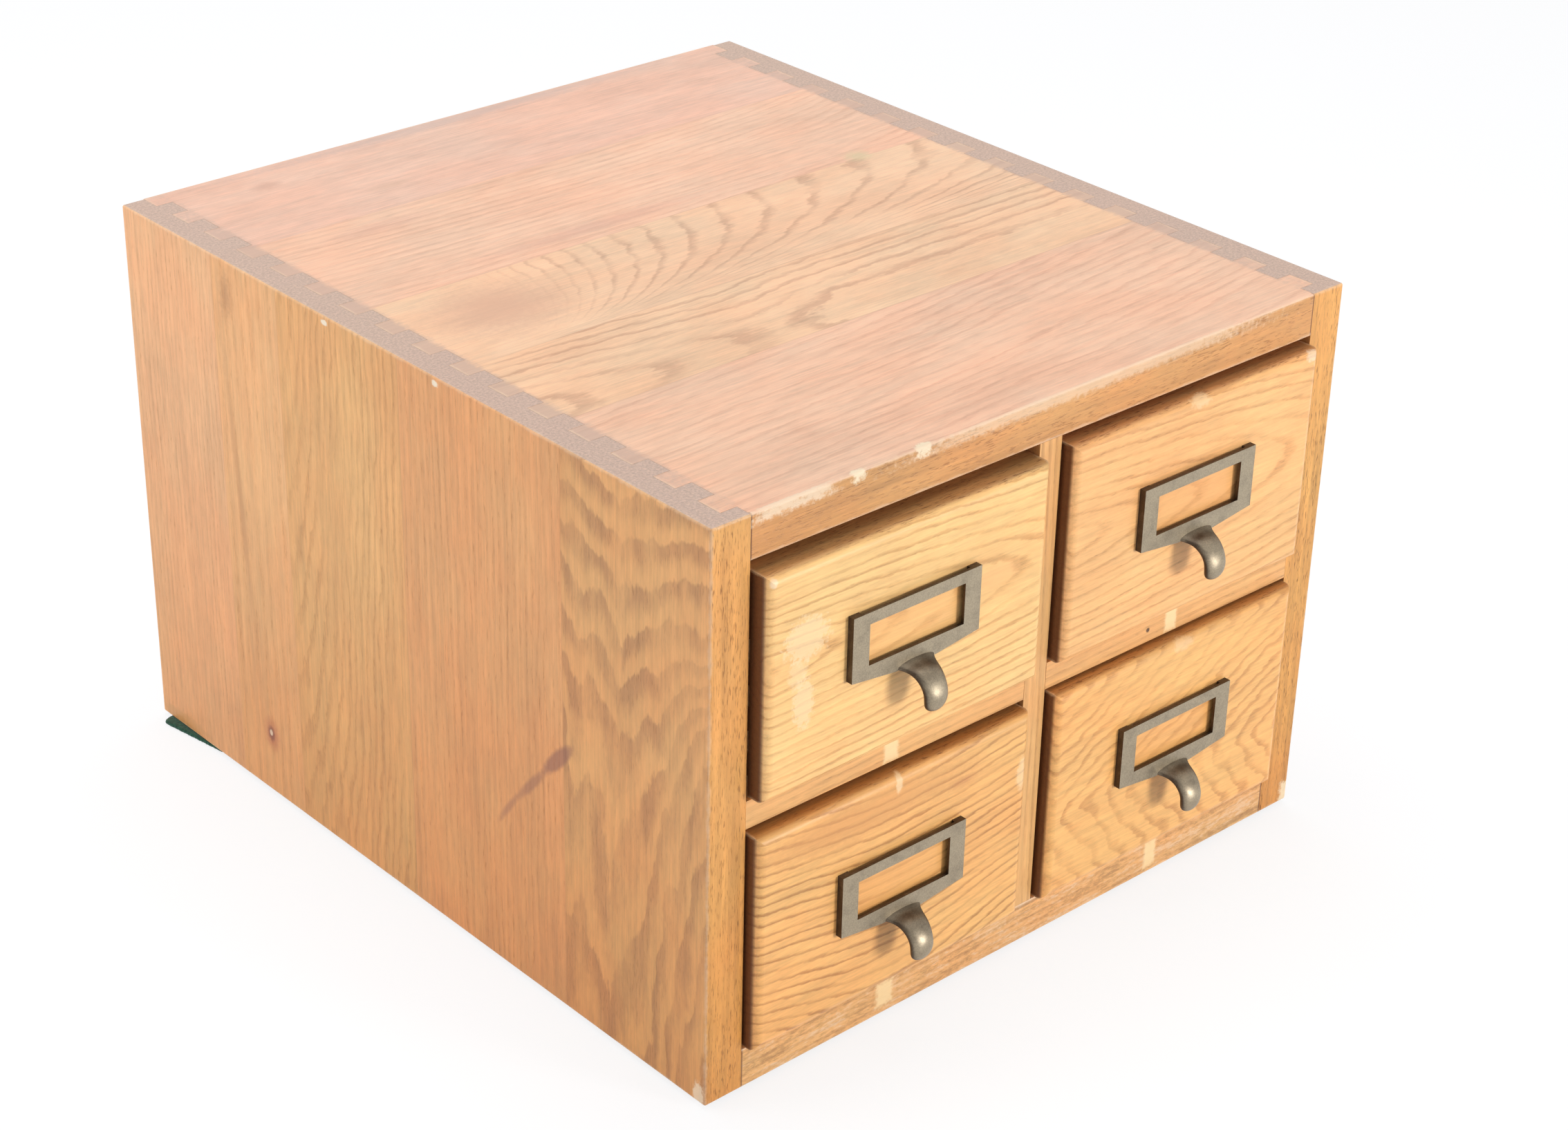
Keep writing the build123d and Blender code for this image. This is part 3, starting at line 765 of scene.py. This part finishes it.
top_origin = (case_left, case_back, case_top)
top_planks = [
    Plank(77.0, -200, 40, 0.1, 0, 7, 8, 0.1, (244, 197, 173), (228, 178, 152)),
    Plank(TOP_FAN[0], -120, 72.8, -0.651, 2.01, 4.8, 6, 0.34, (250, 201, 170), (224, 168, 136)),
    Plank(TOP_FAN[1], 100, 50, 0, 0, 5, 3, 0.6, (250, 204, 166), (206, 158, 126), 0.42),
    Plank(TOP_ARROWS[1], 285, 40, 0, 0, 5.0, 3, 0.6, (250, 204, 164), (204, 154, 122), 0.5),
    Plank(END, 145, 10, 0.28, 0, 6.0, 9, 0.4, (249, 200, 168), (222, 166, 136), 0.5),
]
top_marks = [
    *(spot(*row, soft=0.9) for row in (
        (295.6, 160, 11, 9, (218, 206, 160), 0.6),
        (62, 21, 12, 7, (214, 164, 140), 0.6),
        (106, 55, 16, 6, (216, 176, 150), 0.5),
        (75, 92, 40, 8, (222, 168, 146), 0.35),
        (150, 150, 90, 7, (216, 160, 140), 0.35))),
    spot(178, 4, 190, 8, (206, 182, 172), 0.55, soft=0.9, ragged=0.8),
    spot(60, 195, 46, 38, (226, 174, 143), 0.75, soft=0.9),
    *(spot(along, 200, 12, 210, (206, 174, 156), 0.75, soft=0.4, ragged=0.5, square=1)
      for along in (10, 346)),
    *(spot(along, 400, 0.5, 2, SEAM, 0.75, ragged=0.2, square=1, soft=0.3, depth=10,
           half_deep=12) for along in SEAMS_AT),
    spot(73, 399.2, 5, 2.2, (255, 238, 205), 0.85, ragged=1.6),
    spot(107, 399.0, 6, 2.8, (255, 238, 205), 0.85, ragged=1.6),
    spot(40, 399.3, 24, 1.4, (252, 230, 200), 0.7, ragged=1.4, square=1),
    spot(200, 399.6, 120, 1.0, (250, 222, 190), 0.5, ragged=1.2, square=1),
    spot(298, 404, 10, 4, (150, 110, 80), 0.6, ragged=0.8, depth=10),
]
top_low, top_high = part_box("top_panel")
dress("top_panel", board_material(
    "top oak", top_origin, "+x -y -z", top_planks, top_marks, seed=40.0, special=top_figure,
    tints_and_painted_shade=[(direction, (0.73, 0.58, 0.29), 1.0) for direction in ("-y", "+y")],
    roughness=0.36, pores=0.35,
    worn=(top_low, top_high, 1.4, 3.4, PALE_EDGE, 0.38)))

# %% [markdown]
# The boards inside the case show their front edges. The bottom board's edge was left rough from
# the saw and is speckled where the stain didn't take. Pale squares on it and on the shelves,
# just under the finger pulls, are where something stuck on was pulled off with the finish.
# %% Rails, shelves and divider
rail_pale, rail_dark = (234, 179, 115), (192, 137, 84)
SCRAPED = (255, 226, 172)
bottom_low, bottom_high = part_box("bottom_panel")
bottom_origin = (case_left, case_front, bottom_high[2])
bottom_marks = [
    spot(98, 9, 6, 8, SCRAPED, 0.8, ragged=0.9, square=1),
    spot(261, 9, 4.6, 9, SCRAPED, 0.85, ragged=0.7, square=1),
    *(spot(along, 9, 0.5, 12, SEAM, share, ragged=0.2, square=1, soft=0.3)
      for along, share in zip(SEAMS_AT, (0.7, 0.8))),
    spot(180, 1.5, 160, 1.2, SEAM, 0.35, ragged=1.4, square=1),
]
dress("bottom_panel", board_material(
    "bottom oak", bottom_origin, "+x -z +y",
    [Plank(END, -60, 30, 0.03, 0, 3.4, 3, 0.5, rail_pale, rail_dark)], bottom_marks, seed=55.0,
    rough_sawn=(240, 204, 164),
    worn=(bottom_low, bottom_high, 1.5, 3.4, PALE_EDGE, 0.6)))
shelf_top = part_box("left_shelf")[1][2]
shelf_marks = [
    spot(96, 6, 5, 8, SCRAPED, 0.85, ragged=0.6, square=1),
    spot(261, 6, 4.6, 8, SCRAPED, 0.85, ragged=0.6, square=1),
    # A small hole, painted dark as its shade.
    spot(246.7, 7, 1.5, 1.4, (60, 30, 15), 0.9, ragged=0.4),
]
shelf_oak = board_material(
    "shelf oak", (case_left, case_front, shelf_top), "+x -z +y",
    [Plank(END, -60, 30, 0.05, 0, 3.4, 3, 0.45, rail_pale, rail_dark)], shelf_marks, seed=61.0)
dress("left_shelf", shelf_oak)
dress("right_shelf", shelf_oak)
dress("centre_divider", board_material(
    "divider oak", (0.0, case_front, case_base), "+z +x +y",
    [Plank(END, -40, 30, 0.03, 0, 3.0, 3, 0.5, rail_pale, rail_dark)], seed=67.0))

# %% [markdown]
# The four fronts were cut from different boards and are the liveliest part. Their places run from
# the left end, down from the top and into the wood. The lower right one's lines turn a corner, by
# a formula of its own. Each front's ends are end grain, dark from the stain and from painted
# shade, and its top face is painted darker as shade. The light scuffs are old labels and knocks,
# and the wood in each label window stayed fresher.
# %% Drawer fronts
def corner_rings(g, place, rings, contrast):
    """Rings that turn a corner: (along - 1.4 sqrt(up^2 + 4^2) - 0.56 up + 3 depth) / ring.

    up is the height above the line of the corners, about 60 mm below the top. So the lines rise
    by half to the right above it, and fall steeper below it.
    """
    ring = 14
    waves = flat_waves(g, place, 19, 11, 2)
    up = g.math("SUBTRACT", g.math("MULTIPLY_ADD", place[0], 0.05, 59.5), place[1])
    bent = g.math("SQRT", g.math("MULTIPLY_ADD", up, up, 16.0))
    count = g.math("MULTIPLY_ADD", bent, -1.4, g.math("MULTIPLY_ADD", up, -0.56, place[0]))
    count = g.math("MULTIPLY_ADD", place[2], 3, count)
    return g.math("MULTIPLY_ADD", waves, 1.5, g.math("DIVIDE", count, ring)), contrast


# The fronts' ends: end grain dark from the stain, made darker still with painted shade.
FRONT_END_STAIN_AND_SHADE = ((98, 52, 28), 0.95)
SCUFF = (255, 226, 180)
WINDOW = (250, 176, 100)
WINDOW_DROP = 14.3           # mm from the top of a pull to the middle of its window
WINDOW_HALF = (27, 10.5)
front_boards = {
    "upper_left": dict(
        planks=[Plank(END, 40.5, 4, 0.12, 0, 4.0, 6, 0.6, (253, 203, 134), (204, 144, 80), 0.45)],
        marks=[spot(20, 32, 13, 11, SCUFF, 0.55, soft=0.35, ragged=1.6),
               spot(16, 46, 6, 9, SCUFF, 0.4, soft=0.5, ragged=1.6),
               spot(19, 60, 6, 13, SCUFF, 0.55, soft=0.35, ragged=1.6),
               spot(122, 40, 15, 7, (250, 190, 126), 0.55, soft=0.6),
               spot(3, 3, 2.4, 2.4, CHIP, 0.45, ragged=1.0)],
        seed=71.0),
    "upper_right": dict(
        planks=[Plank(END, 43, 6, 0.16, 0, 4.6, 6, 0.5, (248, 189, 124), (203, 139, 80), 0.45)],
        marks=[spot(75, 1.5, 7, 4, SCUFF, 0.45, ragged=1.3),
               spot(146, 2, 5, 3, CHIP, 0.5, ragged=1.2)],
        seed=78.0),
    "lower_left": dict(
        planks=[Plank(END, 150, 15, 0.8, -5.3, 4.6, 6, 0.85, (243, 184, 112), (186, 126, 68),
                      0.45)],
        marks=[spot(60, 12, 84, 13, (222, 156, 92), 0.6, soft=0.8, ragged=0.7),
               spot(111, 18, 12, 3.5, (190, 118, 72), 0.4, soft=0.9),
               spot(75, 4, 2.4, 6, SCUFF, 0.6, ragged=1.2),
               spot(146, 28, 4, 10, SCUFF, 0.5, ragged=1.2)],
        seed=85.0),
    "lower_right": dict(
        planks=[Plank(END, 30, 2, 0.5, 0, 6.4, 8, 0.6, (246, 186, 113), (200, 134, 72), 0.55)],
        marks=[spot(78, 3, 8, 4, SCUFF, 0.35, ragged=1.3)],
        seed=93.0, special=corner_rings),
}
for drawer, board in front_boards.items():
    low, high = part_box(drawer + "_front")
    pull_low, pull_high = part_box(drawer + "_pull")
    along = ((pull_low[0] + pull_high[0]) / 2 - low[0]) / MM
    across = (high[2] - pull_high[2]) / MM + WINDOW_DROP
    window = spot(along, across, *WINDOW_HALF, WINDOW, 0.35, square=1, soft=0.1, ragged=0.1)
    dress(drawer + "_front", board_material(
        drawer.replace("_", " ") + " front oak", (low[0], low[1], high[2]), "+x -z +y",
        board["planks"], board["marks"] + [window], seed=board["seed"], ends=FRONT_END_STAIN_AND_SHADE,
        # The +z tint darkens each front's top face: painted shade.
        special=board.get("special"), tints_and_painted_shade=[("+z", (0.56, 0.48, 0.44), 0.9)], roughness=0.4,
        worn=(low, high, 1.3, 3.2, (255, 228, 186), 0.35)))

# %% [markdown]
# Inside, the drawers were planed and left bare, so their wood is paler and duller. Their boards
# share two materials, one for the grain that runs from front to back and one for the grain that
# runs across. The case's back and the drawers' bottoms are thin plywood, whose peeled face shows
# wide, faint figure.
# %% Drawer boxes and back
bare_pale, bare_dark = (228, 196, 148), (192, 150, 102)
bare_end = ((196, 156, 112), 0.8)
lengthwise = board_material(
    "drawer side wood", (case_left, case_front, case_base), "+y +z +x",
    [Plank(END, -70, 25, 0.03, 0, 4.4, 4, 0.5, bare_pale, bare_dark)], seed=101.0,
    ends=bare_end, roughness=0.6)
crosswise = board_material(
    "drawer cross wood", (case_left, case_front, case_base), "+x +z +y",
    [Plank(END, -70, 25, 0.04, 0, 4.8, 4, 0.45, bare_pale, bare_dark)], seed=107.0,
    ends=bare_end, roughness=0.6)
plywood = board_material(
    "back plywood", (case_left, case_back, case_base), "+z +x -y",
    [Plank(END, 178, 12, 0.1, 0, 7.5, 16, 0.35, (232, 186, 132), (206, 152, 100))],
    seed=113.0, pores=0.3, roughness=0.55)
ply_bottom = board_material(
    "drawer bottom plywood", (case_left, case_front, case_base), "+x +y +z",
    [Plank(END, 200, 12, 0.1, 0, 7.5, 16, 0.3, (230, 198, 152), (206, 168, 120))],
    seed=117.0, pores=0.3, roughness=0.6)
dress("back_panel", plywood)
for drawer in front_boards:
    for node in ("_left_side", "_right_side"):
        dress(drawer + node, lengthwise)
    for node in ("_back", "_follower_board", "_follower_block"):
        dress(drawer + node, crosswise)
    dress(drawer + "_bottom", ply_bottom)

# %% [markdown]
# The pulls were cast in brass and have aged to a brown grey. The colour follows the way that a
# face looks: faces towards the front, and up and forwards, are painted light, and edges and other
# faces painted shade, with cloudy blotches from hands over both. The screws are plain steel gone
# dull, made in the same way, painted light and shade included.
# %% Metal
def aged_metal(name, dark, light, roughness, metallic):
    """Metal painted light on faces towards the front or up and forwards, and painted shade
    elsewhere.
    """
    material, g, shader, normal, place = new_material(name)
    normal = g.split(normal)
    cloudy = g.noise(g.vector("SCALE", place, scale=1 / 7), detail=5, roughness=0.6)
    grainy = g.noise(g.vector("SCALE", place, scale=1 / 0.6), detail=3, roughness=0.6)
    # Painted light and shade: the mask is 1 on faces towards the front, up to 0.75 on faces up and
    # forwards as a painted highlight, and 0 elsewhere.
    front = g.rise(g.math("MULTIPLY", normal[1], -1.0), 0.35, 0.98)
    painted_highlight_slant = g.math("SUBTRACT", normal[2], normal[1])
    front = g.math("MAXIMUM", front, g.rise(painted_highlight_slant, 1.1, 1.38, 0.0, 0.75))
    colour = g.mix(g.sway(cloudy, 1.1, front, clamp=True), dark, light)
    g.feed(shader.inputs["Base Color"], g.shade(colour, g.rise(grainy, 0.3, 0.7, 0.82, 1.1)))
    shader.inputs["Metallic"].default_value = metallic
    g.feed(shader.inputs["Roughness"], g.rise(cloudy, 0.3, 0.7, roughness - 0.06, roughness + 0.08))
    add_bump(g, shader, grainy, 0.15, 0.1)
    print(name, "has", len(material.node_tree.nodes), "nodes")
    return material


# The first colour is the painted shade and the second the painted light, on pulls and screws alike.
pull_metal = aged_metal("aged brass", card(80, 67, 55), card(162, 149, 127), 0.43, 0.75)
screw_steel = aged_metal("dull steel", card(120, 118, 112), card(150, 148, 142), 0.4, 0.9)
dress("back_screws", screw_steel)
for drawer in front_boards:
    dress(drawer + "_pull", pull_metal)
    dress(drawer + "_pull_screws", screw_steel)

# %% [markdown]
# Felt is short wool pressed flat. It has no weave: its colour is a mottle of darker and lighter
# fibres, with a soft sheen where loose ends catch the light, and its bump is a fine fuzz.
# %% Felt
def make_felt():
    """Green felt, from tufts 1.4 mm and fuzz 0.35 mm across."""
    material, g, shader, _, place = new_material("green felt")
    tufts = g.noise(g.vector("SCALE", place, scale=1 / 1.4), detail=5, roughness=0.7)
    fuzz = g.noise(g.vector("SCALE", place, scale=1 / 0.35), detail=3, roughness=0.7)
    colour = g.mix(g.rise(tufts, 0.35, 0.65), card(14, 64, 50), card(38, 98, 76))
    colour = g.mix(g.rise(fuzz, 0.55, 0.75, 0.0, 0.2), colour, card(110, 140, 120))
    g.feed(shader.inputs["Base Color"], colour)
    shader.inputs["Roughness"].default_value = 0.95
    shader.inputs["Sheen Weight"].default_value = 0.3
    add_bump(g, shader, g.math("MULTIPLY_ADD", fuzz, 0.5, tufts), 0.8, 0.3)
    print("felt has", len(material.node_tree.nodes), "nodes")
    return material


felt = make_felt()

# %% [markdown]
# The cabinet stands on four squares of felt, cut by hand, so their corners are a little round and
# their edges a little ragged. A cube with a bevel would be too crisp. Here the outline is a
# superellipse, a curve between a circle and a square, and the thickness is a profile that is
# carried round it, so that one formula gives the whole closed surface. The pad at the back left
# has turned and slipped out, and so it takes an angle.
# %% Felt pads
PAD_HALF = 22.4 * MM
PAD_THICK = 2.0 * MM
SLIPPED_TURN = math.radians(9.3)
RAGGED = 0.35 * MM
CORNERS = 16                 # the superellipse's power: 2 is a circle, and more is squarer
AROUND = 240                 # points round the edge


def closed_grid(rings, low_pole, high_pole):
    """Faces of a stack of closed rings, with a fan from a pole to the first and the last ring.

    Ring i's vertex j joins ring i + 1's vertices j and j + 1. The poles come last in the list.
    """
    rows, around = rings.shape[:2]
    step = np.arange(around)
    after = (step + 1) % around
    start = np.arange(rows - 1)[:, None] * around
    above = start + around
    sides = np.stack([start + step, start + after, above + after, above + step], -1)
    low, high = rows * around, rows * around + 1
    low_fan = np.stack([np.full(around, low), after, step], -1)
    last = (rows - 1) * around
    high_fan = np.stack([np.full(around, high), last + step, last + after], -1)
    points = np.concatenate([rings.reshape(-1, 3), [low_pole], [high_pole]])
    return points, sides.reshape(-1, 4).tolist() + low_fan.tolist() + high_fan.tolist()


def felt_pad(corner, turn=0.0):
    """A felt square. At angle t round it, the edge is half / (|cos t|^n + |sin t|^n)^(1/n) away.

    The profile goes in from the rim to the middle below, and out over the rounded rim to the
    middle above. Three waves of different pitch make the cut edge ragged.
    """
    node = "felt_pad_" + corner
    low, high = (np.array(c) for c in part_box(node))
    middle = (low + high) / 2
    t = np.linspace(0, 2 * np.pi, AROUND, endpoint=False)
    powers = np.abs(np.cos(t)) ** CORNERS + np.abs(np.sin(t)) ** CORNERS
    edge = PAD_HALF / powers ** (1 / CORNERS)
    waves = np.sin(23 * t + middle[0] * 90) + np.sin(57 * t + middle[1] * 70) + np.sin(91 * t)
    edge = edge - RAGGED * (1.5 + waves / 2) / 2
    inwards = np.array([0.3, 0.7, 0.93, 0.98, 1.0, 1.0, 0.985, 0.95, 0.7, 0.3])
    height = PAD_THICK * np.array([0, 0, 0, 0.12, 0.4, 0.7, 0.92, 1, 1, 1])
    around = np.stack([np.cos(t + turn) * edge, np.sin(t + turn) * edge], -1)
    rings = np.empty((len(inwards), len(t), 3))
    rings[..., :2] = middle[:2] + inwards[:, None, None] * around[None]
    rings[..., 2] = height[:, None]
    points, faces = closed_grid(rings, (*middle[:2], 0), (*middle[:2], PAD_THICK))
    mesh = bpy.data.meshes.new(node + "_cloth")
    mesh.from_pydata(points.tolist(), [], faces)
    mesh.shade_smooth()
    pad = bpy.data.objects.new(node + "_cloth", mesh)
    bpy.context.collection.objects.link(pad)
    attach(pad, "case")
    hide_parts(node)
    mesh.materials.append(felt)
    print(pad.name, "has", len(faces), "faces")


for corner in ("front_left", "front_right", "back_right"):
    felt_pad(corner)
felt_pad("back_left", SLIPPED_TURN)
